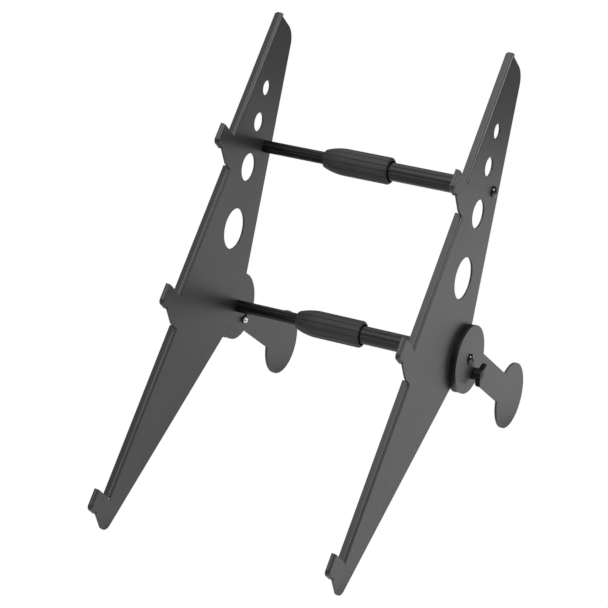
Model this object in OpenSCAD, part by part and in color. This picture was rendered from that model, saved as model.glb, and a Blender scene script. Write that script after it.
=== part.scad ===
// Desktop gear stand with three sloping tiers: two bent sheet side plates, two
// telescopic cross bars with twist grips, and two swinging legs with wing screws.

/* [Stand] */
// Distance from one side plate to the same face of the other
plate_pitch = 260; // [240:1:290]
// Slope of the side plates above the desk, in degrees
blade_angle = 43; // [38:1:46]

/* [Side plate] */
// Length of a side plate along its slope
blade_length = 561.6; // [548:1:600]
// Thickness of the sheet
sheet_thickness = 2; // [1.5:0.1:2.5]
// Outer radius of every bend
bend_radius = 3; // [3:0.1:4]
// Depth of the turned front flanges, over the sheet
flange_depth = 8.4; // [6:0.2:12]
// How far each flange runs on past the sheet's edge at its upper end
flange_lap = 2.5; // [1:0.1:4]
// Front face of the lowest flange, in front of the line through the tip
low_face = 14.4; // [12:0.2:20]
// How far the middle flange stands in front of the lowest one
middle_step = 18.6; // [15:0.2:20]
// How far the upper flange stands in front of the middle one
upper_step = 16.8; // [15:0.2:20]
// Distance along the slope from the lowest ear to the middle one
lower_tier = 216; // [190:0.5:230]
// Distance along the slope from the middle ear to the upper one
upper_tier = 173.5; // [160:0.5:185]
// Radius of the tip that stands on the desk
tip_radius = 12; // [8:0.5:14]
// How far the tip's corner lies behind the line through the tip
tip_back = 4; // [2:0.5:6]
// How far the back edge's knee lies behind that line
knee_back = 100.8; // [95:0.2:110]
// Distance of the knee along the slope
knee_height = 288.8; // [280:0.2:300]
// Distance from the upper flange's face back to the top corner
crown_depth = 36.5; // [32:0.5:45]
// Radius of the top corner
crown_radius = 20; // [10:0.5:24]
// Size of the cut on the upper flange's free corner
flange_mitre = 2; // [1:0.5:4]

/* [Ears] */
// How far each ear stands in front of its flange's face
ear_stand = 27.6; // [24:0.2:32]
// Length of an ear along the slope
ear_height = 21.7; // [20:0.1:24]
// Depth of the lip round an ear, over the sheet
lip_depth = 4.5; // [4:0.1:6]
// Outer radius where the lip turns from the front to the underside
ear_corner_radius = 4.5; // [4.2:0.1:8]
// Length of the lip under an ear
lip_reach = 14.8; // [12:0.1:16]
// Length of the slanting throat behind the lip, across the slope
throat_reach = 18.8; // [16:0.1:20]
// Length of the throat along the slope
throat_drop = 7.8; // [6:0.1:9]
// Width of the relief slot between an ear and the flange above it
relief_width = 1.2; // [0.8:0.1:2]
// How far that slot reaches in front of the flange's face
relief_lead = 1.5; // [1:0.1:4]
// Diameter of the slot's round root
relief_root_diameter = 1.8; // [1.4:0.1:3]

/* [Round openings] */
// How far the centre of the largest opening lies behind the line through the tip
hole_row_back = 23.9; // [20:0.1:28]
// Distance of that centre along the slope
hole_row_height = 347.3; // [340:0.1:355]
// Length of the row of openings, between the outer centres
hole_row_length = 149.7; // [145:0.1:155]
// Lean of the row towards the front, in degrees
hole_row_lean = 18; // [16:0.5:20]
// Diameter of the largest opening
first_hole_diameter = 43; // [36:0.5:46]
// Diameter of the second opening
second_hole_diameter = 29.5; // [24:0.5:32]
// Diameter of the third opening
third_hole_diameter = 20; // [16:0.5:22]
// Diameter of the smallest opening
fourth_hole_diameter = 16; // [12:0.5:18]

/* [Cross bars] */
// How far up the slope the upper bar lies from the largest opening's centre
bar_rise = 95.7; // [92:0.1:99]
// How far the upper bar lies in front of the plate's back edge
bar_inset = 15.3; // [14:0.1:17]
// How far the lower bar and the leg's pivot lie behind that line
pivot_back = 95.5; // [90:0.2:100]
// Distance of the pivot along the slope
pivot_height = 289.5; // [284:0.2:294]
// Outside diameter of the outer tube
outer_tube_diameter = 19; // [18:0.1:20]
// Wall of the outer tube
outer_tube_wall = 1.5; // [1.2:0.1:1.7]
// Outside diameter of the inner tube
inner_tube_diameter = 13; // [12:0.1:13.4]
// Wall of the inner tube
inner_tube_wall = 1.2; // [1:0.1:1.6]
// Length of the inner tube
inner_tube_length = 175; // [160:1:178]
// Length of the tapped plug in the plate end of each tube
plug_length = 15; // [14:0.5:18]
// Length of the guide bush on the inner tube's free end
bush_length = 12; // [8:0.5:16]
// Thickness of the bush's end wall
bush_end = 2; // [1:0.5:3]

/* [Twist grips] */
// Distance from the left plate to a grip's nose
grip_from_plate = 72; // [68:1:76]
// Length of a grip
grip_length = 74.5; // [66:0.5:80]
// Diameter of a grip
grip_diameter = 28.2; // [27:0.2:32]
// Diameter of a grip's front face
nose_diameter = 19; // [18.5:0.2:22]
// Length of the tapered nose
nose_length = 24; // [20:0.5:28]
// Thickness of the nose's front wall
nose_wall = 2; // [1.5:0.1:2.5]
// Radius of the rim at a grip's open mouth
rim_radius = 2.6; // [1:0.1:2.8]
// How many fine grooves run along a grip
groove_count = 14; // [8:1:20]
// Radius of the cutter that makes a groove
groove_radius = 0.9; // [0.6:0.1:1.2]
// Depth of a groove
groove_depth = 0.3; // [0.2:0.05:0.5]
// How far the upper grip's grooves are turned, in degrees
upper_groove_turn = 8; // [0:1:25]
// How far the lower grip's grooves are turned, in degrees
lower_groove_turn = 16; // [0:1:25]
// Depth of the outer tube's end inside a grip, from the nose
tube_setback = 16; // [15:0.5:20]
// Length of the threaded ferrule on the outer tube
ferrule_length = 20; // [16:0.5:26]
// Wall of the ferrule
ferrule_wall = 1.1; // [0.9:0.1:1.3]
// Diameter of the clamping collet at its small end
collet_tip_diameter = 16; // [15.6:0.1:16.4]
// Diameter of the collet's shoulder
collet_base_diameter = 18.6; // [18:0.1:18.8]
// Length of the collet's shank inside the outer tube
collet_shank = 12; // [8:0.5:16]
// Width of the collet's four slots
collet_slot = 1.2; // [0.8:0.1:1.6]
// Length of the shoulder that the slots leave whole
collet_shoulder = 2; // [1.5:0.1:3]

/* [Legs] */
// Distance between the centres of a leg's two discs
leg_length = 143.5; // [140:0.5:160]
// Width of a leg's arm
leg_width = 31; // [26:0.5:36]
// Diameter of a leg's discs and of the side plate's lobe
disc_diameter = 71; // [66:0.5:74]
// Thickness of a leg
leg_thickness = 2.5; // [2:0.1:3]
// Thickness of the spacer disc between a leg and its side plate
spacer_thickness = 4.5; // [3:0.1:6]
// How far the spacer disc's rim lies inside the leg's disc
spacer_inset = 0.5; // [0.2:0.1:1]
// How far a leg swings up from where it stands, in degrees
leg_swing = 40; // [30:1:42]

/* [Screws] */
// Diameter of every thread
thread_diameter = 6; // [5:0.1:6]
// Diameter of a pan head
head_diameter = 11.8; // [11:0.1:13]
// Height of a pan head
head_height = 3.6; // [3:0.1:4]
// Height of a pan head's straight side
head_side = 1.4; // [1:0.1:1.6]
// Length of the cross recess in a head
recess_length = 6.4; // [5:0.1:7]
// Width of the cross recess
recess_width = 1.1; // [0.8:0.1:1.4]
// Depth of the cross recess
recess_depth = 1.9; // [1.4:0.1:2.2]
// Diameter of the shoulder that a leg turns on
shoulder_diameter = 8; // [7:0.1:9]
// Length of thread inside a tapped plug
thread_reach = 12; // [8:0.5:13]
// Distance from the pivot to the lock screw
lock_radius = 23.3; // [22:0.1:25]
// Angle from the leg's centre line down to the lock screw, in degrees
lock_lead = 22.4; // [18:0.1:26]
// How far the lock screw's end stands out of the side plate
stud_end = 4.3; // [3:0.1:6]
// How far the lock screw's stud reaches into its wing knob
stud_grip = 6; // [4:0.5:7]
// Diameter of the thin nut on the lock screw
nut_diameter = 8.6; // [8:0.1:10]
// Thickness of that nut
nut_thickness = 2; // [1.5:0.1:2.5]

/* [Wing knobs] */
// Diameter of a wing knob's hub
hub_diameter = 13; // [12:0.2:15]
// Diameter of the hub's outer end
hub_top_diameter = 10; // [9:0.2:12]
// Height of the hub
hub_height = 9; // [8:0.5:10]
// Distance over the tips of the two wings
wing_span = 25; // [23:0.5:28]
// Height of the wing tips' upper corners above the leg
wing_height = 11; // [10.5:0.1:13]
// Depth of a wing at its tip
wing_depth = 5.2; // [4.5:0.1:6]
// Thickness of a wing
wing_thickness = 2.8; // [2:0.1:3.5]
// Radius of the wing tips' corners
wing_corner_radius = 1.2; // [0.8:0.1:1.5]
// How far a knob is turned from the leg's centre line, in degrees
knob_turn = 86.6; // [0:0.1:180]

/* [Fits] */
// Running clearance of the pivot, the inner tube and the guide bush, on the radius
running_clearance = 0.05; // [0.02:0.01:0.1]
// Clearance of pressed and moulded fits, on the radius
press_clearance = 0.02; // [0.01:0.01:0.04]
// Clearance of a screw in its hole, on the radius
bolt_clearance = 0.25; // [0.2:0.05:0.4]
// Gap between a collet and the cone of its grip
cone_clearance = 0.3; // [0.2:0.05:0.4]
// Gap between the inner tube and the nose of the grip
nose_clearance = 0.4; // [0.3:0.05:0.6]
// Gap between the outer tube and the open mouth of the grip
mouth_clearance = 1.8; // [1.6:0.1:2]

/* [Hidden] */
$fn = 96;

// How far a cut runs past the face that it opens
overrun = 0.5;
// How far a rounding arc's circle runs past the edges that it joins, so that they cross cleanly
blend = 0.01;

tier_count = 3;
outer_face = (plate_pitch + sheet_thickness) / 2;
inner_face = outer_face - sheet_thickness;
disc_radius = disc_diameter / 2;
thread_radius = thread_diameter / 2;
lock_reach = leg_thickness + spacer_thickness;

outer_tube_radius = outer_tube_diameter / 2;
outer_tube_bore = outer_tube_radius - outer_tube_wall;
inner_tube_radius = inner_tube_diameter / 2;
inner_tube_bore = inner_tube_radius - inner_tube_wall;
nose_x = grip_from_plate - inner_face;
grip_radius = grip_diameter / 2;
ferrule_radius = outer_tube_radius + press_clearance + ferrule_wall;
ferrule_clear = 1;
collet_start = nose_wall + overrun;

// Places on a side plate are [distance in front of the line through the tip, distance up the slope]
low_ear_top = ear_height + throat_drop;
tier_faces = [low_face, low_face + middle_step, low_face + middle_step + upper_step];
ear_tops = [low_ear_top, low_ear_top + lower_tier, low_ear_top + lower_tier + upper_tier];
tier_ends = [ear_tops[1] - low_ear_top, ear_tops[2] - low_ear_top, blade_length];
crown_corner = [tier_faces[2] - crown_depth, blade_length];
knee_corner = [-knee_back, knee_height];
tip_corner = [-tip_back, 0];
pivot_spot = [-pivot_back, pivot_height];
bar_height = hole_row_height + bar_rise;
bar_spot = [back_edge(bar_height) + bar_inset, bar_height];

// Shares of the row's length at which the four round openings lie
hole_shares = [0, 0.437, 0.758, 1];
hole_diameters = [
    first_hole_diameter, second_hole_diameter, third_hole_diameter, fourth_hole_diameter
];

function unit(v) = v / norm(v);
function half_angle(before, at, after) =
    acos(unit(before - at) * unit(after - at)) / 2;
function corner_centre(before, at, after, radius) =
    at + unit(unit(before - at) + unit(after - at))
    * (radius - blend) / sin(half_angle(before, at, after));
function back_edge(height) =
    knee_corner[0] + (crown_corner - knee_corner)[0]
    * (height - knee_corner[1]) / (crown_corner - knee_corner)[1];
function foot_of(point, from, to) = from + unit(to - from) * ((point - from) * unit(to - from));

// Turns a place on a side plate into [distance back, height above the tip's line]
function slope_point(spot) = [
    spot[1] * cos(blade_angle) - spot[0] * sin(blade_angle),
    spot[0] * cos(blade_angle) + spot[1] * sin(blade_angle)
];

function lip_face(tier) = tier_faces[tier] + ear_stand;
function ear_low(tier) = ear_tops[tier] - ear_height;
function throat_top(tier) = [lip_face(tier) - lip_reach, ear_low(tier)];
function throat_end(tier) = throat_top(tier) - [throat_reach, throat_drop];
function lip_corner(tier) = [lip_face(tier) - bend_radius, ear_low(tier) + bend_radius];
function ear_corner(tier) = [lip_face(tier) - bend_radius, ear_tops[tier]];
function flange_foot(tier) = [tier_faces[tier] - bend_radius, ear_tops[tier]];
function flange_top(tier) = [tier_faces[tier] - bend_radius, tier_ends[tier]];

front_edge = [
    for (tier = [0 : tier_count - 1])
        each [
            throat_end(tier), throat_top(tier), throat_top(tier) + [0, bend_radius],
            lip_corner(tier), ear_corner(tier), flange_foot(tier), flange_top(tier)
        ]
];

// The stand rests on the round tip and on the foot discs, so both set the desk's height
tip_centre = corner_centre(knee_corner, tip_corner, front_edge[0], tip_radius);
tip_lift = tip_radius - slope_point(tip_centre)[1];
low_ear_centre = [lip_face(0), ear_low(0)] + [-ear_corner_radius, ear_corner_radius];
leg_drop = asin((slope_point(pivot_spot)[1] + tip_lift - disc_radius) / leg_length);
stand_front = slope_point(low_ear_centre)[0] - ear_corner_radius;
stand_back = slope_point(pivot_spot)[0] + leg_length * cos(leg_drop) + disc_radius;
desk_origin = [-(stand_front + stand_back) / 2, tip_lift];
pivot_place = slope_point(pivot_spot) + desk_origin;
bar_place = slope_point(bar_spot) + desk_origin;
lock_place = pivot_place
    + lock_radius * [cos(leg_drop + lock_lead), -sin(leg_drop + lock_lead)];

// Placing

// Lays a flat shape, drawn as a side plate is, on the sloping plane that starts at face_x
module on_slope(face_x) {
    translate([face_x, desk_origin[0], desk_origin[1]])
        rotate([blade_angle, 0, 0])
            rotate([0, -90, 0])
                children();
}

// Stands a shape on the plane at x, with its own z along the stand's X
module across(x, place) {
    translate([x, place[0], place[1]])
        rotate([90, 0, 90])
            children();
}

module left_hand() {
    mirror([1, 0, 0])
        children();
}

// Side plates

// What lies outside the arc that rounds the corner at a point between its two neighbours
module corner_wedge(before, at, after, radius) {
    centre = corner_centre(before, at, after, radius);
    swell = (radius + overrun) / radius;
    difference() {
        polygon([
            centre,
            centre + (foot_of(centre, at, before) - centre) * swell,
            centre + (at - centre) * swell,
            centre + (foot_of(centre, at, after) - centre) * swell
        ]);
        translate(centre)
            circle(radius);
    }
}

// Section of a turned edge: x runs outwards from where the bend starts, y from the sheet's face
module turned_edge(depth) {
    intersection() {
        translate([0, bend_radius])
            difference() {
                circle(bend_radius);
                circle(bend_radius - sheet_thickness);
            }
        square(bend_radius);
    }
    translate([bend_radius - sheet_thickness, bend_radius])
        square([sheet_thickness, depth - bend_radius]);
}

module relief_slot(tier) {
    translate(flange_foot(tier)) {
        circle(d = relief_root_diameter);
        translate([0, -relief_width / 2])
            square([bend_radius + relief_lead, relief_width]);
    }
}

module hole_row() {
    for (i = [0 : len(hole_shares) - 1])
        translate([-hole_row_back, hole_row_height])
            rotate(-hole_row_lean)
                translate([0, hole_row_length * hole_shares[i]])
                    circle(d = hole_diameters[i]);
}

// The slot that the lock screw runs along as its leg swings
module lock_slot() {
    slot_radius = thread_radius + bolt_clearance;
    slot_reach = lock_radius + disc_radius;
    rest_turn = 90 + blade_angle + leg_drop + lock_lead;
    difference() {
        intersection() {
            circle(lock_radius + slot_radius);
            polygon([
                [0, 0],
                for (turn = [0 : leg_swing / 2 : leg_swing])
                    slot_reach * [cos(rest_turn - turn), sin(rest_turn - turn)]
            ]);
        }
        circle(lock_radius - slot_radius);
    }
    for (turn = [0, leg_swing])
        rotate(rest_turn - turn)
            translate([lock_radius, 0])
                circle(slot_radius + blend);
}

module plate_outline() {
    points = concat([tip_corner], front_edge, [crown_corner, knee_corner]);
    difference() {
        polygon(points);
        corner_wedge(knee_corner, tip_corner, front_edge[0], tip_radius);
        corner_wedge(flange_top(tier_count - 1), crown_corner, knee_corner, crown_radius);
        for (tier = [0 : tier_count - 1]) {
            corner_wedge(
                throat_top(tier) + [0, bend_radius], lip_corner(tier), ear_corner(tier),
                ear_corner_radius - bend_radius
            );
            relief_slot(tier);
        }
    }
    translate(pivot_spot)
        circle(disc_radius);
}

module flange(tier) {
    length = tier_ends[tier] + flange_lap - ear_tops[tier] - relief_width / 2;
    translate(flange_top(tier) + [0, flange_lap])
        rotate([90, 0, 0])
            linear_extrude(length)
                turned_edge(flange_depth);
}

module ear_lip(tier) {
    front_length = ear_height - ear_corner_radius;
    under_length = lip_reach - ear_corner_radius;
    translate(ear_corner(tier))
        rotate([90, 0, 0])
            linear_extrude(front_length)
                turned_edge(lip_depth);
    translate([lip_face(tier) - ear_corner_radius, ear_low(tier) + bend_radius])
        rotate([0, 0, -90])
            rotate([90, 0, 0])
                linear_extrude(under_length)
                    turned_edge(lip_depth);
    translate([lip_face(tier) - ear_corner_radius, ear_low(tier) + ear_corner_radius])
        rotate([0, 0, -90])
            rotate_extrude(angle = 90)
                translate([ear_corner_radius - bend_radius, 0])
                    turned_edge(lip_depth);
}

module side_plate() {
    difference() {
        union() {
            linear_extrude(sheet_thickness)
                difference() {
                    plate_outline();
                    hole_row();
                    translate(pivot_spot)
                        lock_slot();
                    for (spot = [pivot_spot, bar_spot])
                        translate(spot)
                            circle(thread_radius + bolt_clearance);
                }
            for (tier = [0 : tier_count - 1]) {
                flange(tier);
                ear_lip(tier);
            }
        }
        translate([tier_faces[tier_count - 1], blade_length + flange_lap, flange_depth])
            rotate([45, 0, 0])
                cube(
                    [2 * (sheet_thickness + overrun), flange_mitre * sqrt(2), flange_mitre * sqrt(2)],
                    center = true
                );
    }
}

module left_side_plate() {
    color("#2a2b2d")
        on_slope(-inner_face)
            side_plate();
}

module right_side_plate() {
    color("#2a2b2d")
        on_slope(outer_face)
            side_plate();
}

// Cross bars

module ring(outer, bore, length) {
    difference() {
        cylinder(r = outer, h = length);
        translate([0, 0, -overrun])
            cylinder(r = bore, h = length + 2 * overrun);
    }
}

module outer_tube(place) {
    start = nose_x + tube_setback;
    color("#161617")
        across(start, place)
            ring(outer_tube_radius, outer_tube_bore, inner_face - start);
}

module inner_tube(place) {
    color("#1b1b1c")
        across(-inner_face, place)
            ring(inner_tube_radius, inner_tube_bore, inner_tube_length);
}

module outer_plug(place) {
    color("#3a3a3c")
        across(inner_face - plug_length, place)
            ring(outer_tube_bore - press_clearance, thread_radius + running_clearance, plug_length);
}

module inner_plug(place) {
    color("#3a3a3c")
        across(-inner_face, place)
            ring(inner_tube_bore - press_clearance, thread_radius + running_clearance, plug_length);
}

module guide_bush(place) {
    color("#4a4a4c")
        across(inner_tube_length - inner_face + bush_end - bush_length, place)
            difference() {
                cylinder(r = outer_tube_bore - running_clearance, h = bush_length);
                translate([0, 0, -overrun])
                    cylinder(
                        r = inner_tube_radius + press_clearance,
                        h = bush_length - bush_end + overrun
                    );
            }
}

module upper_outer_tube() {
    outer_tube(bar_place);
}

module lower_outer_tube() {
    outer_tube(pivot_place);
}

module upper_inner_tube() {
    inner_tube(bar_place);
}

module lower_inner_tube() {
    inner_tube(pivot_place);
}

module upper_outer_plug() {
    outer_plug(bar_place);
}

module lower_outer_plug() {
    outer_plug(pivot_place);
}

module upper_inner_plug() {
    inner_plug(bar_place);
}

module lower_inner_plug() {
    inner_plug(pivot_place);
}

module upper_guide_bush() {
    guide_bush(bar_place);
}

module lower_guide_bush() {
    guide_bush(pivot_place);
}

// Twist grips: the grip draws its cone over the slotted collet, which clamps the inner tube

module grip_body() {
    nose_drop = (grip_diameter - nose_diameter) / 2;
    nose_curve = (nose_length ^ 2 + nose_drop ^ 2) / (2 * nose_drop);
    intersection() {
        square([grip_radius, nose_length]);
        translate([grip_radius - nose_curve, nose_length])
            circle(nose_curve);
    }
    difference() {
        translate([0, nose_length])
            square([grip_radius, grip_length - nose_length]);
        translate([grip_radius - rim_radius, grip_length - rim_radius])
            difference() {
                square(rim_radius + overrun);
                circle(rim_radius);
            }
    }
}

module grip_bore() {
    nose_bore = inner_tube_radius + nose_clearance;
    cone_start = collet_tip_diameter / 2 + cone_clearance;
    cone_end = collet_base_diameter / 2 + cone_clearance;
    thread_bore = ferrule_radius + running_clearance;
    mouth_bore = outer_tube_radius + mouth_clearance;
    cone_top = tube_setback - collet_shoulder;
    thread_top = tube_setback + ferrule_length + ferrule_clear;
    polygon([
        [0, -overrun],
        [nose_bore, -overrun],
        [nose_bore, nose_wall],
        [cone_start, nose_wall],
        [cone_end, cone_top],
        [thread_bore, cone_top],
        [thread_bore, thread_top],
        [mouth_bore, thread_top],
        [mouth_bore, grip_length + overrun],
        [0, grip_length + overrun]
    ]);
}

// Each groove's cutter runs straight, so the grooves fade out where the nose draws in
module twist_grip(place, groove_turn) {
    color("#0f0f10")
        across(nose_x, place)
            difference() {
                rotate_extrude()
                    difference() {
                        grip_body();
                        grip_bore();
                    }
                for (i = [0 : groove_count - 1])
                    rotate(groove_turn + i * 360 / groove_count)
                        translate([grip_radius - groove_depth + groove_radius, 0, -overrun])
                            cylinder(r = groove_radius, h = grip_length + 2 * overrun);
            }
}

module collet(place) {
    bore = inner_tube_radius + running_clearance;
    shoulder_start = tube_setback - collet_shoulder;
    color("#5a5a5c")
        across(nose_x, place)
            difference() {
                rotate_extrude()
                    polygon([
                        [bore, collet_start],
                        [collet_tip_diameter / 2, collet_start],
                        [collet_base_diameter / 2, shoulder_start],
                        [collet_base_diameter / 2, tube_setback],
                        [outer_tube_bore - press_clearance, tube_setback],
                        [outer_tube_bore - press_clearance, tube_setback + collet_shank],
                        [bore, tube_setback + collet_shank]
                    ]);
                for (turn = [0, 90])
                    rotate(turn)
                        translate([
                            -collet_base_diameter / 2 - overrun, -collet_slot / 2,
                            collet_start - overrun
                        ])
                            cube([
                                collet_base_diameter + 2 * overrun, collet_slot,
                                shoulder_start - collet_start + overrun
                            ]);
            }
}

module ferrule(place) {
    color("#8d8f92")
        across(nose_x + tube_setback, place)
            ring(ferrule_radius, outer_tube_radius + press_clearance, ferrule_length);
}

module upper_twist_grip() {
    twist_grip(bar_place, upper_groove_turn);
}

module lower_twist_grip() {
    twist_grip(pivot_place, lower_groove_turn);
}

module upper_collet() {
    collet(bar_place);
}

module lower_collet() {
    collet(pivot_place);
}

module upper_ferrule() {
    ferrule(bar_place);
}

module lower_ferrule() {
    ferrule(pivot_place);
}

// Screws

module pan_head() {
    crown = head_height - head_side;
    crown_curve = ((head_diameter / 2) ^ 2 + crown ^ 2) / (2 * crown);
    difference() {
        rotate_extrude()
            intersection() {
                square([head_diameter / 2, head_height]);
                translate([0, head_height - crown_curve])
                    circle(crown_curve);
            }
        for (turn = [45, 135])
            translate([0, 0, head_height - recess_depth])
                rotate(turn)
                    translate([-recess_length / 2, -recess_width / 2, 0])
                        cube([recess_length, recess_width, recess_depth + overrun]);
    }
}

module bar_bolt() {
    color("#1d1d1f")
        across(inner_face - thread_reach, bar_place) {
            cylinder(r = thread_radius, h = thread_reach + sheet_thickness);
            translate([0, 0, thread_reach + sheet_thickness])
                pan_head();
        }
}

module pivot_screw() {
    color("#1d1d1f")
        across(inner_face - thread_reach, pivot_place) {
            cylinder(r = thread_radius, h = thread_reach + sheet_thickness);
            translate([0, 0, thread_reach + sheet_thickness]) {
                cylinder(d = shoulder_diameter, h = lock_reach + running_clearance);
                translate([0, 0, lock_reach + running_clearance])
                    pan_head();
            }
        }
}

module left_bar_bolt() {
    left_hand()
        bar_bolt();
}

module right_bar_bolt() {
    bar_bolt();
}

module left_pivot_screw() {
    left_hand()
        pivot_screw();
}

module right_pivot_screw() {
    pivot_screw();
}

// Legs

module pivot_holes() {
    circle(shoulder_diameter / 2 + running_clearance);
    translate(lock_place - pivot_place)
        circle(thread_radius + bolt_clearance);
}

module leg() {
    color("#2a2b2d")
        across(outer_face + spacer_thickness, pivot_place)
            linear_extrude(leg_thickness)
                difference() {
                    rotate(-leg_drop) {
                        circle(disc_radius);
                        translate([0, -leg_width / 2])
                            square([leg_length, leg_width]);
                        translate([leg_length, 0])
                            circle(disc_radius);
                    }
                    pivot_holes();
                }
}

module spacer_disc() {
    color("#101011")
        across(outer_face, pivot_place)
            linear_extrude(spacer_thickness)
                difference() {
                    circle(disc_radius - spacer_inset);
                    pivot_holes();
                }
}

module left_leg() {
    left_hand()
        leg();
}

module right_leg() {
    leg();
}

module left_spacer_disc() {
    left_hand()
        spacer_disc();
}

module right_spacer_disc() {
    spacer_disc();
}

// Lock screws

module wing_outline() {
    tip = [wing_span / 2, wing_height];
    heel = tip - [0, wing_depth];
    shoulder = [hub_top_diameter / 2, hub_height];
    foot = [hub_diameter / 2, hub_height - wing_depth];
    difference() {
        polygon([[0, foot[1]], foot, heel, tip, shoulder, [0, shoulder[1]]]);
        corner_wedge(foot, heel, tip, wing_corner_radius);
        corner_wedge(heel, tip, shoulder, wing_corner_radius);
    }
}

module wing_knob() {
    color("#151516")
        across(outer_face + lock_reach, lock_place)
            difference() {
                union() {
                    cylinder(d1 = hub_diameter, d2 = hub_top_diameter, h = hub_height);
                    for (side = [0, 180])
                        rotate(knob_turn - leg_drop + side)
                            translate([0, wing_thickness / 2, 0])
                                rotate([90, 0, 0])
                                    linear_extrude(wing_thickness)
                                        wing_outline();
                }
                translate([0, 0, -overrun])
                    cylinder(r = thread_radius + press_clearance, h = stud_grip + overrun);
            }
}

module lock_stud() {
    color("#b9bcc0")
        across(inner_face - stud_end, lock_place)
            cylinder(
                r = thread_radius,
                h = stud_end + sheet_thickness + lock_reach + stud_grip
            );
}

module lock_nut() {
    color("#2a2b2d")
        across(inner_face - nut_thickness, lock_place)
            ring(nut_diameter / 2, thread_radius + running_clearance, nut_thickness);
}

module left_wing_knob() {
    left_hand()
        wing_knob();
}

module right_wing_knob() {
    wing_knob();
}

module left_lock_stud() {
    left_hand()
        lock_stud();
}

module right_lock_stud() {
    lock_stud();
}

module left_lock_nut() {
    left_hand()
        lock_nut();
}

module right_lock_nut() {
    lock_nut();
}

left_side_plate();
right_side_plate();
upper_outer_tube();
lower_outer_tube();
upper_inner_tube();
lower_inner_tube();
upper_outer_plug();
lower_outer_plug();
upper_inner_plug();
lower_inner_plug();
upper_guide_bush();
lower_guide_bush();
upper_twist_grip();
lower_twist_grip();
upper_collet();
lower_collet();
upper_ferrule();
lower_ferrule();
left_bar_bolt();
right_bar_bolt();
left_pivot_screw();
right_pivot_screw();
left_leg();
right_leg();
left_spacer_disc();
right_spacer_disc();
left_wing_knob();
right_wing_knob();
left_lock_stud();
right_lock_stud();
left_lock_nut();
right_lock_nut();
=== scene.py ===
import math

import bmesh
import bpy
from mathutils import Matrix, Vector


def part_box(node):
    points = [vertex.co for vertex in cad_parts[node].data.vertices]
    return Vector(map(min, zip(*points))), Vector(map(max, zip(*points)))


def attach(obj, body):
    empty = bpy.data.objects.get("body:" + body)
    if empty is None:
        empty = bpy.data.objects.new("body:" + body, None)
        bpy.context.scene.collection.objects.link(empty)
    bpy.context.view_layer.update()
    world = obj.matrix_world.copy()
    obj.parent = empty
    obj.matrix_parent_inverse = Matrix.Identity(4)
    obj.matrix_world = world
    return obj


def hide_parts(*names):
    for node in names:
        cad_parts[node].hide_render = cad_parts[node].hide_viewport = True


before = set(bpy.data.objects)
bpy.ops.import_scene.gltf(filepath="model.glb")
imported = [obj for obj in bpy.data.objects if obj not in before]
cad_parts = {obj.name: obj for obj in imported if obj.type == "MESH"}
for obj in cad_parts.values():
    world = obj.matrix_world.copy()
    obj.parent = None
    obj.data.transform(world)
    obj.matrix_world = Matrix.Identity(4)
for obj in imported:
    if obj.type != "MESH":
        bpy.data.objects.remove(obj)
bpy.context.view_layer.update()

mm = 0.001

# Shared helpers


def toLinear(hexColour):
    parts = [int(hexColour[i:i + 2], 16) / 255 for i in (1, 3, 5)]
    return [c / 12.92 if c <= 0.04045 else ((c + 0.055) / 1.055) ** 2.4 for c in parts] + [1]


def addNode(tree, kind, inputs=None, **settings):
    node = tree.nodes.new(kind)
    for name, value in settings.items():
        setattr(node, name, value)
    for name, value in (inputs or {}).items():
        if isinstance(value, bpy.types.NodeSocket):
            tree.links.new(value, node.inputs[name])
        else:
            node.inputs[name].default_value = value
    return node


def newMaterial(name, uniform):
    material = bpy.data.materials.new(name)
    material.use_nodes = True
    shader = material.node_tree.nodes["Principled BSDF"]
    for socket, value in uniform.items():
        shader.inputs[socket].default_value = value
    return material, material.node_tree, shader


def connect(tree, shader, colour, gloss, relief):
    for socket, source in (("Base Color", colour), ("Roughness", gloss), ("Normal", relief)):
        tree.links.new(source, shader.inputs[socket])


def dress(material, *names):
    for name in names:
        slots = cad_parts[name].data.materials
        slots.clear()
        slots.append(material)


def bothSides(name):
    return [f"left_{name}", f"right_{name}"]


def bothBars(name):
    return [f"upper_{name}", f"lower_{name}"]


# Materials

noiseLow, noiseHigh = 0.3, 0.7  # nearly all of a noise's values lie between these two

coat = {
    "base": "#1f1f21",
    # paler colour along cut edges: thinner coat there, and a painted highlight
    "edge": "#4a4b4d",
    "roughness": 0.37,
    "peel": 1.6,            # mm between ripples of the orange peel; the real 0.7 is too fine to show
    "peelDepth": 0.007,     # mm
    "cloud": 70,            # mm across a soft patch of thicker coat
    "cloudShade": 0.06,     # share by which a patch is lighter or darker
    "cloudGloss": 0.04,     # and by which its roughness goes up or down
    "edgeRadius": 0.5,      # mm of rounding at a cut edge, where the coat is paler: thinner there, and a painted highlight
    "edgePale": (0.98, 0.78),  # cosine of the turn off the flat where the paler edge (thinner coat and painted highlight) starts and ends
}


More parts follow.
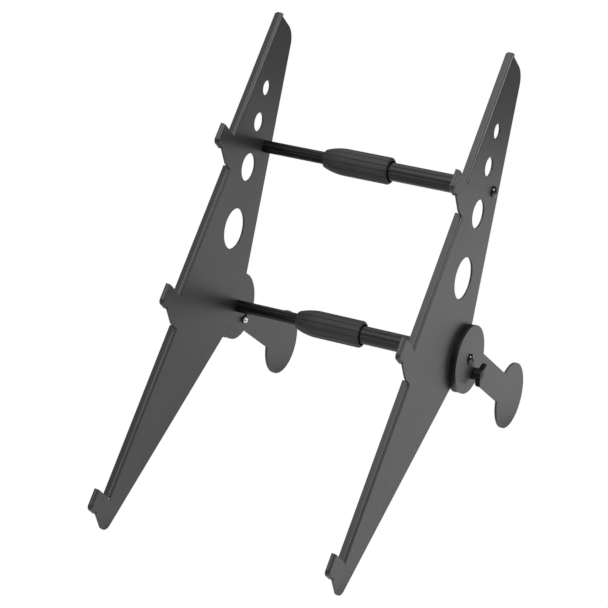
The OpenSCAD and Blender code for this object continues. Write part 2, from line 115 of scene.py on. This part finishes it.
def powderCoat():
    # Satin polyester powder on steel: charcoal, an even soft sheen, faint orange peel,
    # paler along cut edges, where the coat is thinner and a highlight is painted in
    material, tree, shader = newMaterial("powderCoat", {"Specular IOR Level": 0.5, "IOR": 1.5})
    place = addNode(tree, "ShaderNodeTexCoord").outputs["Object"]
    peel = addNode(tree, "ShaderNodeTexNoise", {
        "Vector": place, "Scale": 1 / (coat["peel"] * mm), "Detail": 2.0, "Roughness": 0.5})
    cloud = addNode(tree, "ShaderNodeTexNoise", {
        "Vector": place, "Scale": 1 / (coat["cloud"] * mm), "Detail": 3.0, "Roughness": 0.6})
    rounded = addNode(tree, "ShaderNodeBevel", {"Radius": coat["edgeRadius"] * mm}, samples=6)
    flat = addNode(tree, "ShaderNodeNewGeometry")
    bend = addNode(tree, "ShaderNodeVectorMath", {
        0: rounded.outputs["Normal"], 1: flat.outputs["Normal"]}, operation="DOT_PRODUCT")
    # the paler cut edges: partly thinner coat, partly a painted highlight
    paleStart, paleEnd = coat["edgePale"]
    thinCoatAndHighlight = addNode(tree, "ShaderNodeMapRange", {
        "Value": bend.outputs["Value"], "From Min": paleStart, "From Max": paleEnd,
        "To Min": 0.0, "To Max": 1.0})
    shade = addNode(tree, "ShaderNodeMapRange", {
        "Value": cloud.outputs["Fac"], "From Min": noiseLow, "From Max": noiseHigh,
        "To Min": 1 - coat["cloudShade"], "To Max": 1 + coat["cloudShade"]})
    body = addNode(tree, "ShaderNodeVectorMath", {
        0: toLinear(coat["base"])[:3], "Scale": shade.outputs["Result"]}, operation="SCALE")
    colour = addNode(tree, "ShaderNodeMix", {
        0: thinCoatAndHighlight.outputs["Result"], 6: body.outputs["Vector"], 7: toLinear(coat["edge"])},
        data_type="RGBA")
    gloss = addNode(tree, "ShaderNodeMapRange", {
        "Value": cloud.outputs["Fac"], "To Min": coat["roughness"] - coat["cloudGloss"],
        "To Max": coat["roughness"] + coat["cloudGloss"]})
    ripple = addNode(tree, "ShaderNodeBump", {
        "Height": peel.outputs["Fac"], "Distance": coat["peelDepth"] * mm, "Strength": 1.0,
        "Normal": rounded.outputs["Normal"]})
    connect(tree, shader, colour.outputs[2], gloss.outputs["Result"], ripple.outputs["Normal"])
    return material


enamel = {
    # colour and how much the surface mirrors; the inner tubes are the blacker ones
    "outerEnamel": ("#141416", 0.38),
    "innerEnamel": ("#0c0c0d", 0.22),
    "roughness": 0.33,
    "drag": 0.9,            # mm between the drawing lines that run along the tube
    "dragStretch": 0.03,    # scale of the lines along the tube against that round it
    "dragDepth": 0.004,     # mm
    "dragShade": 0.15,      # share by which a line is lighter or darker
    "dragGloss": (-0.05, 0.08),  # roughness off the middle value, lowest and highest
    "edgeRadius": 0.3,      # mm
}


def tubeEnamel(name):
    # Gloss black enamel over drawn steel tube: near black, long clear highlights,
    # faint lines along the draw
    base, specular = enamel[name]
    material, tree, shader = newMaterial(name, {"IOR": 1.5, "Specular IOR Level": specular})
    place = addNode(tree, "ShaderNodeTexCoord").outputs["Object"]
    along = addNode(tree, "ShaderNodeMapping", {
        "Vector": place, "Scale": (enamel["dragStretch"], 1, 1)})
    lines = addNode(tree, "ShaderNodeTexNoise", {
        "Vector": along.outputs["Vector"], "Scale": 1 / (enamel["drag"] * mm), "Detail": 2.0})
    rounded = addNode(tree, "ShaderNodeBevel", {"Radius": enamel["edgeRadius"] * mm}, samples=4)
    relief = addNode(tree, "ShaderNodeBump", {
        "Height": lines.outputs["Fac"], "Distance": enamel["dragDepth"] * mm,
        "Normal": rounded.outputs["Normal"]})
    smoothest, dullest = enamel["dragGloss"]
    gloss = addNode(tree, "ShaderNodeMapRange", {
        "Value": lines.outputs["Fac"], "To Min": enamel["roughness"] + smoothest,
        "To Max": enamel["roughness"] + dullest})
    shade = addNode(tree, "ShaderNodeMapRange", {
        "Value": lines.outputs["Fac"], "To Min": 1 - enamel["dragShade"],
        "To Max": 1 + enamel["dragShade"]})
    colour = addNode(tree, "ShaderNodeVectorMath", {
        0: toLinear(base)[:3], "Scale": shade.outputs["Result"]}, operation="SCALE")
    connect(tree, shader, colour.outputs["Vector"], gloss.outputs["Result"],
            relief.outputs["Normal"])
    return material


ribs = {
    "count": 14,
    "width": 0.34,          # share of a rib's pitch that its groove takes
    "floor": 0.05,          # share of the pitch from the groove's middle to where its side begins
    "depth": 0.35,          # mm
    "shade": 0.55,          # how much of the light is left in a groove
    "upperTurn": 8,         # degrees from straight back up to a groove, as in the solids
    "lowerTurn": 16,
}


def addRibs(tree, place, grip, turn):
    # 0 in the grooves and 1 on the lands between them, counted round the bar's own axis
    low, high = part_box(grip)
    centre = [(a + b) / 2 for a, b in zip(low, high)]
    seen = addNode(tree, "ShaderNodeVectorMath", {0: place, 1: centre}, operation="SUBTRACT")
    parts = addNode(tree, "ShaderNodeSeparateXYZ", {"Vector": seen.outputs["Vector"]})
    angle = addNode(tree, "ShaderNodeMath", {
        0: parts.outputs["Z"], 1: parts.outputs["Y"]}, operation="ARCTAN2")
    pitch = addNode(tree, "ShaderNodeMath", {
        0: angle.outputs["Value"], 1: ribs["count"] / (2 * math.pi),
        2: -turn * ribs["count"] / 360}, operation="MULTIPLY_ADD")
    wave = addNode(tree, "ShaderNodeMath", {
        0: pitch.outputs["Value"], 1: 0.5}, operation="PINGPONG")
    return addNode(tree, "ShaderNodeMapRange", {
        "Value": wave.outputs["Value"], "From Min": ribs["floor"], "From Max": ribs["width"] / 2},
        interpolation_type="SMOOTHSTEP").outputs["Result"]


def mouldedPlastic(name, look, grip=None, turn=0):
    # Injection-moulded plastic: spark-eroded grain that softens the sheen,
    # slight flow marks in the colour
    material, tree, shader = newMaterial(name, {
        "IOR": 1.49, "Specular IOR Level": look["specular"]})
    place = addNode(tree, "ShaderNodeTexCoord").outputs["Object"]
    grain = addNode(tree, "ShaderNodeTexNoise", {
        "Vector": place, "Scale": 1 / (look["grain"] * mm), "Detail": 3.0, "Roughness": 0.65})
    flow = addNode(tree, "ShaderNodeTexNoise", {
        "Vector": place, "Scale": 1 / (look["flow"] * mm), "Detail": 2.0, "Distortion": 0.6})
    rounded = addNode(tree, "ShaderNodeBevel", {"Radius": look["edgeRadius"] * mm}, samples=4)
    relief = addNode(tree, "ShaderNodeBump", {
        "Height": grain.outputs["Fac"], "Distance": look["grainDepth"] * mm,
        "Normal": rounded.outputs["Normal"]})
    shade = addNode(tree, "ShaderNodeMapRange", {
        "Value": flow.outputs["Fac"], "From Min": noiseLow, "From Max": noiseHigh,
        "To Min": 1 - plasticSpread["shade"], "To Max": 1 + plasticSpread["shade"]})
    colour = addNode(tree, "ShaderNodeVectorMath", {
        0: toLinear(look["base"])[:3], "Scale": shade.outputs["Result"]}, operation="SCALE")
    gloss = addNode(tree, "ShaderNodeMapRange", {
        "Value": grain.outputs["Fac"], "To Min": look["roughness"] - plasticSpread["gloss"],
        "To Max": look["roughness"] + plasticSpread["gloss"]})
    if grip:
        lands = addRibs(tree, place, grip, turn)
        # painted shade: the colour is darkened in the grooves between the ribs
        grooveShade = addNode(tree, "ShaderNodeMapRange", {
            "Value": lands, "To Min": ribs["shade"], "To Max": 1.0})
        colour = addNode(tree, "ShaderNodeVectorMath", {
            0: colour.outputs["Vector"], "Scale": grooveShade.outputs["Result"]}, operation="SCALE")
        relief = addNode(tree, "ShaderNodeBump", {
            "Height": lands, "Distance": ribs["depth"] * mm, "Normal": relief.outputs["Normal"]})
    connect(tree, shader, colour.outputs["Vector"], gloss.outputs["Result"],
            relief.outputs["Normal"])
    return material


def turnedMetal(name, look):
    # Machined or plated metal: fine turning lines round the bar's axis, small stains of handling
    material, tree, shader = newMaterial(name, {"Metallic": 1.0})
    place = addNode(tree, "ShaderNodeTexCoord").outputs["Object"]
    stretch = metalSpread["lineStretch"]
    across = addNode(tree, "ShaderNodeMapping", {"Vector": place, "Scale": (1, stretch, stretch)})
    lines = addNode(tree, "ShaderNodeTexNoise", {
        "Vector": across.outputs["Vector"], "Scale": 1 / (look["line"] * mm), "Detail": 2.0})
    stain = addNode(tree, "ShaderNodeTexNoise", {
        "Vector": place, "Scale": 1 / (look["stain"] * mm), "Detail": 3.0})
    rounded = addNode(tree, "ShaderNodeBevel", {"Radius": look["edgeRadius"] * mm}, samples=4)
    relief = addNode(tree, "ShaderNodeBump", {
        "Height": lines.outputs["Fac"], "Distance": look["lineDepth"] * mm,
        "Normal": rounded.outputs["Normal"]})
    darkest, lightest = metalSpread["shade"]
    shade = addNode(tree, "ShaderNodeMapRange", {
        "Value": stain.outputs["Fac"], "From Min": noiseLow, "From Max": noiseHigh,
        "To Min": darkest, "To Max": lightest})
    colour = addNode(tree, "ShaderNodeVectorMath", {
        0: toLinear(look["base"])[:3], "Scale": shade.outputs["Result"]}, operation="SCALE")
    smoothest, dullest = metalSpread["gloss"]
    gloss = addNode(tree, "ShaderNodeMapRange", {
        "Value": stain.outputs["Fac"], "To Min": look["roughness"] + smoothest,
        "To Max": look["roughness"] + dullest})
    connect(tree, shader, colour.outputs["Vector"], gloss.outputs["Result"],
            relief.outputs["Normal"])
    return material


# Grain, flow, line and stain are in mm from one to the next, and so are all depths and radii
plasticSpread = {
    "shade": 0.12,          # share by which a flow mark is lighter or darker
    "gloss": 0.06,          # by how much the grain moves the roughness
}
plastics = {
    # black nylon of the spacers: almost no light comes back from the rim
    "spacerNylon": {
        "base": "#0d0d0e", "roughness": 0.55, "specular": 0.3,
        "grain": 0.8, "grainDepth": 0.02, "flow": 12, "edgeRadius": 0.4},
    # glass-filled nylon of the wing knobs: dull black, slightly mottled
    "knobNylon": {
        "base": "#070708", "roughness": 0.45, "specular": 0.2,
        "grain": 0.6, "grainDepth": 0.02, "flow": 6, "edgeRadius": 0.2},
    # plain dark nylon inside the bars
    "colletNylon": {
        "base": "#5d5d60", "roughness": 0.5, "specular": 0.5,
        "grain": 0.7, "grainDepth": 0.02, "flow": 8, "edgeRadius": 0.15},
}
# matt soft-touch skin on the grips: dark grey in the light, no clear highlight
gripRubber = {
    "base": "#2c2c2d", "roughness": 0.55, "specular": 0.45,
    "grain": 0.9, "grainDepth": 0.015, "flow": 18, "edgeRadius": 0.15}
metalSpread = {
    "lineStretch": 0.05,    # scale of the turning lines round the axis against that along it
    "shade": (0.85, 1.1),   # darkest and lightest stain
    "gloss": (-0.06, 0.1),  # roughness off the middle value, lowest and highest
}
metals = {
    # black oxide on steel screws: dark with hard small glints
    "blackOxide": {
        "base": "#4c4d51", "roughness": 0.13,
        "line": 0.35, "lineDepth": 0.006, "stain": 3, "edgeRadius": 0.15},
    # bright zinc plate on the lock studs
    "zincPlate": {
        "base": "#dcdee2", "roughness": 0.24,
        "line": 0.3, "lineDepth": 0.004, "stain": 2.5, "edgeRadius": 0.1},
    # plain turned aluminium of the tapped plugs and ferrules
    "turnedAluminium": {
        "base": "#b9bbbf", "roughness": 0.32,
        "line": 0.4, "lineDepth": 0.006, "stain": 5, "edgeRadius": 0.15},
}

finish = {name: mouldedPlastic(name, look) for name, look in plastics.items()}
finish.update({name: turnedMetal(name, look) for name, look in metals.items()})
finish["powderCoat"] = powderCoat()

dress(finish["powderCoat"], *bothSides("side_plate"), *bothSides("leg"))
dress(tubeEnamel("outerEnamel"), *bothBars("outer_tube"))
dress(tubeEnamel("innerEnamel"), *bothBars("inner_tube"))
for bar in ("upper", "lower"):
    grip = f"{bar}_twist_grip"
    dress(mouldedPlastic(f"gripRubber_{bar}", gripRubber, grip, ribs[f"{bar}Turn"]), grip)
dress(finish["spacerNylon"], *bothSides("spacer_disc"))
dress(finish["knobNylon"], *bothSides("wing_knob"))
dress(finish["blackOxide"], *bothSides("bar_bolt"), *bothSides("pivot_screw"),
      *bothSides("lock_nut"))
dress(finish["zincPlate"], *bothSides("lock_stud"))
dress(finish["turnedAluminium"], *bothBars("outer_plug"), *bothBars("inner_plug"),
      *bothBars("ferrule"))
dress(finish["colletNylon"], *bothBars("collet"), *bothBars("guide_bush"))
print("materials done:", len(bpy.data.materials))

# Lock studs, lock nuts and wing knobs, in the places of their plain solids


def addPiece(name, shape, material, node, body, sharp):
    mesh = bpy.data.meshes.new(name)
    shape.to_mesh(mesh)
    shape.free()
    mesh.materials.append(material)
    mesh.shade_smooth()
    mesh.set_sharp_from_angle(angle=math.radians(sharp))
    piece = bpy.data.objects.new(name, mesh)
    bpy.context.scene.collection.objects.link(piece)
    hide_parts(node)
    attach(piece, body)


def addRing(shape, along, middle, radii):
    # A closed ring of points round the x direction, one for each radius
    ring = []
    for j, out in enumerate(radii):
        turn = 2 * math.pi * j / len(radii)
        ring.append(shape.verts.new((
            along, middle[0] + out * math.cos(turn), middle[1] + out * math.sin(turn))))
    return ring


def joinRings(shape, rings):
    for lower, upper in zip(rings, rings[1:]):
        for j in range(len(lower)):
            following = (j + 1) % len(lower)
            shape.faces.new((lower[j], upper[j], upper[following], lower[following]))


thread = {
    "pitch": 1.0,           # mm, as on a coarse 6 mm screw
    "depth": 0.55,          # mm from crest to root
    "hollow": 1.4,          # 1 gives straight flanks, more leaves a broader root
    "sides": 32,
    "stepsPerTurn": 8,
    "chamfer": 0.8,         # mm at each end
    "sharp": 50,            # degrees above which an edge shows as a crease
}


def threadedStud(name, node, body):
    # A real single-start thread whose crests lie on the plain solid's own surface
    low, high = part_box(node)
    radius = (high[2] - low[2]) / 2
    middle = ((low[1] + high[1]) / 2, (low[2] + high[2]) / 2)
    pitch, depth, chamfer = (thread[key] * mm for key in ("pitch", "depth", "chamfer"))
    steps = round((high[0] - low[0]) / pitch * thread["stepsPerTurn"])
    shape = bmesh.new()
    rings = []
    for i in range(steps + 1):
        along = low[0] + (high[0] - low[0]) * i / steps
        room = radius - max(0, chamfer - min(along - low[0], high[0] - along))
        radii = []
        for j in range(thread["sides"]):
            phase = (along / pitch - j / thread["sides"]) % 1
            cut = depth * (1 - abs(2 * phase - 1)) ** thread["hollow"]
            radii.append(min(radius - cut, room))
        rings.append(addRing(shape, along, middle, radii))
    joinRings(shape, rings)
    shape.faces.new(rings[0])
    shape.faces.new(reversed(rings[-1]))
    bmesh.ops.recalc_face_normals(shape, faces=shape.faces)
    addPiece(name, shape, finish["zincPlate"], node, body, thread["sharp"])


lockNut = {
    "acrossCorners": 0.92,  # share of the plain nut's width
    "thickness": 0.8,       # share of its thickness
    "chamfer": 0.35,        # mm
    "bore": 0.99,           # share of the stud's width
    "steps": 48,            # points round the nut, a multiple of six
    "sharp": 30,            # degrees above which an edge shows as a crease
}


def hexNut(name, node, stud, body, side):
    # Thin steel nut with chamfered corners, flat against the side plate
    low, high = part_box(node)
    studLow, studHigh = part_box(stud)
    middle = ((low[1] + high[1]) / 2, (low[2] + high[2]) / 2)
    corner = math.pi / 3
    across = (high[2] - low[2]) / 2 * lockNut["acrossCorners"] * math.cos(corner / 2)
    bore = [(studHigh[2] - studLow[2]) / 2 * lockNut["bore"]] * lockNut["steps"]
    hexagon = [across / math.cos((2 * math.pi * j / lockNut["steps"]) % corner - corner / 2)
               for j in range(lockNut["steps"])]
    inwards, seat = (1, low[0]) if side == "left" else (-1, high[0])
    thick = (high[0] - low[0]) * lockNut["thickness"]
    shoulder = thick - lockNut["chamfer"] * mm
    profile = [(0, bore), (0, hexagon), (shoulder, hexagon),
               (thick, [across] * lockNut["steps"]), (thick, bore)]
    shape = bmesh.new()
    rings = [addRing(shape, seat + inwards * along, middle, radii) for along, radii in profile]
    joinRings(shape, rings + rings[:1])
    bmesh.ops.recalc_face_normals(shape, faces=shape.faces)
    addPiece(name, shape, finish["blackOxide"], node, body, lockNut["sharp"])


knob = {
    "voxel": 0.35,          # mm
    "passes": 8,            # smoothing passes; more of them round the moulded edges further
    "softness": 0.5,        # how far one pass moves a point
}


def mouldedKnob(name, node, body):
    # The wing knob with the soft edges that moulding gives it
    piece = bpy.data.objects.new(name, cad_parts[node].data.copy())
    bpy.context.scene.collection.objects.link(piece)
    remesh = piece.modifiers.new("skin", "REMESH")
    remesh.mode = "VOXEL"
    remesh.voxel_size = knob["voxel"] * mm
    remesh.use_smooth_shade = True
    soften = piece.modifiers.new("soften", "SMOOTH")
    soften.factor = knob["softness"]
    soften.iterations = knob["passes"]
    piece.data.materials.clear()
    piece.data.materials.append(finish["knobNylon"])
    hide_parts(node)
    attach(piece, body)


for side in ("left", "right"):
    threadedStud(f"{side}_threaded_stud", f"{side}_lock_stud", f"{side}_wing_screw")
    hexNut(f"{side}_hex_nut", f"{side}_lock_nut", f"{side}_lock_stud", f"{side}_leg", side)
    mouldedKnob(f"{side}_moulded_knob", f"{side}_wing_knob", f"{side}_wing_screw")
print("studs, nuts and knobs done")

# Floor, light and camera

studio = {
    "white": "#ffffff",
    "sweepRadius": 6,       # metres from the stand to the wall of the white sweep
    "coveRadius": 1.5,      # where floor turns into wall
    "coveSteps": 8,
    "sweepHeight": 5,
    "sweepSides": 64,
    "table": "#f2f2f2",
    "tableSize": 1.75,
    "tableRoughness": 0.8,  # matt paper
    "tableSpecular": 0.2,
    "world": "#ffffff",
    "worldStrength": 0.25,
}


def stageObject(name, points, faces, material):
    mesh = bpy.data.meshes.new(name)
    mesh.from_pydata(points, [], faces)
    mesh.materials.append(material)
    piece = bpy.data.objects.new(name, mesh)
    bpy.context.scene.collection.objects.link(piece)
    return piece


def makeSweep():
    # White seamless that glows evenly; only the camera sees it, so it throws no light on the stand
    material = newMaterial("whiteSweep", {
        "Base Color": [0, 0, 0, 1], "Specular IOR Level": 0,
        "Emission Color": toLinear(studio["white"]), "Emission Strength": 1})[0]
    steps, sides = studio["coveSteps"], studio["sweepSides"]
    radius, cove = studio["sweepRadius"], studio["coveRadius"]
    profile = [(radius - cove, 0)]
    for i in range(1, steps + 1):
        turn = math.pi / 2 * i / steps
        profile.append((radius - cove + cove * math.sin(turn), cove - cove * math.cos(turn)))
    profile.append((radius, studio["sweepHeight"]))
    points = [(0, 0, 0)]
    faces = []
    for out, height in profile:
        for j in range(sides):
            turn = 2 * math.pi * j / sides
            points.append((out * math.cos(turn), out * math.sin(turn), height))
    for j in range(sides):
        following = (j + 1) % sides
        faces.append((0, 1 + j, 1 + following))
        for i in range(len(profile) - 1):
            low, high = 1 + i * sides, 1 + (i + 1) * sides
            faces.append((low + j, high + j, high + following, low + following))
    sweep = stageObject("sweep", points, faces, material)
    for rays in ("diffuse", "glossy", "transmission", "volume_scatter", "shadow"):
        setattr(sweep, "visible_" + rays, False)


def makeTable():
    # White table under the stand; it takes the stand's shadows, the coat mirrors it,
    # and the camera looks past it
    material = newMaterial("whiteTable", {
        "Base Color": toLinear(studio["table"]), "Roughness": studio["tableRoughness"],
        "Specular IOR Level": studio["tableSpecular"]})[0]
    half = studio["tableSize"] / 2
    points = [(-half, -half, 0), (half, -half, 0), (half, half, 0), (-half, half, 0)]
    table = stageObject("table", points, [(0, 1, 2, 3)], material)
    table.visible_camera = False


lamps = {
    # name: place, aim, size in metres and watts
    "rightBox": ((2.2, 0.5, 1.6), (0.1, 0.1, 0.2), 1.2, 27),
    "frontBox": ((-1.2, -2.6, 0.65), (0, 0, 0.2), 0.7, 6),
    "topBox": ((0.0, -0.73, 2.2), (0, 0, 0.2), 1.9, 34),
    "backBox": ((-0.6, 1.6, 2.3), (0, 0, 0.2), 2.2, 14),
    "glint": ((1.7, 0.7, 0.75), (0.1, 0.1, 0.2), 0.3, 6),
    "leftBox": ((-2.5, -0.3, 1.0), (0, 0, 0.2), 1.2, 12),
}


def makeLights():
    world = bpy.data.worlds.new("studioWorld")
    bpy.context.scene.world = world
    world.use_nodes = True
    sky = world.node_tree.nodes["Background"]
    sky.inputs["Color"].default_value = toLinear(studio["world"])
    sky.inputs["Strength"].default_value = studio["worldStrength"]
    for name, (place, aim, size, watts) in lamps.items():
        data = bpy.data.lights.new(name, "AREA")
        data.shape = "DISK"
        data.size = size
        data.energy = watts
        lamp = bpy.data.objects.new(name, data)
        lamp.location = place
        lamp.rotation_euler = (Vector(aim) - Vector(place)).to_track_quat("-Z", "Y").to_euler()
        bpy.context.scene.collection.objects.link(lamp)


view = {
    "target": (0.0031, -0.0272, 0.2045),
    "azimuth": 27.6,        # degrees round from the front towards +X
    "elevation": 25.83,     # degrees up
    "distance": 2.4761,     # metres
    "lens": 148.8,          # mm
    "sensor": 36,           # mm wide
    "clipEnd": 50,          # metres, past the sweep's wall
}


def makeCamera():
    turn, lift = math.radians(view["azimuth"]), math.radians(view["elevation"])
    towards = Vector((math.cos(lift) * math.sin(turn), -math.cos(lift) * math.cos(turn),
                      math.sin(lift)))
    data = bpy.data.cameras.new("camera")
    data.lens = view["lens"]
    data.sensor_width = view["sensor"]
    data.clip_end = view["clipEnd"]
    camera = bpy.data.objects.new("camera", data)
    camera.location = Vector(view["target"]) + towards * view["distance"]
    camera.rotation_euler = (-towards).to_track_quat("-Z", "Y").to_euler()
    bpy.context.scene.collection.objects.link(camera)
    bpy.context.scene.camera = camera


makeSweep()
makeTable()
makeLights()
makeCamera()
bpy.context.scene.view_settings.view_transform = "Standard"
print("floor, lights and camera done")
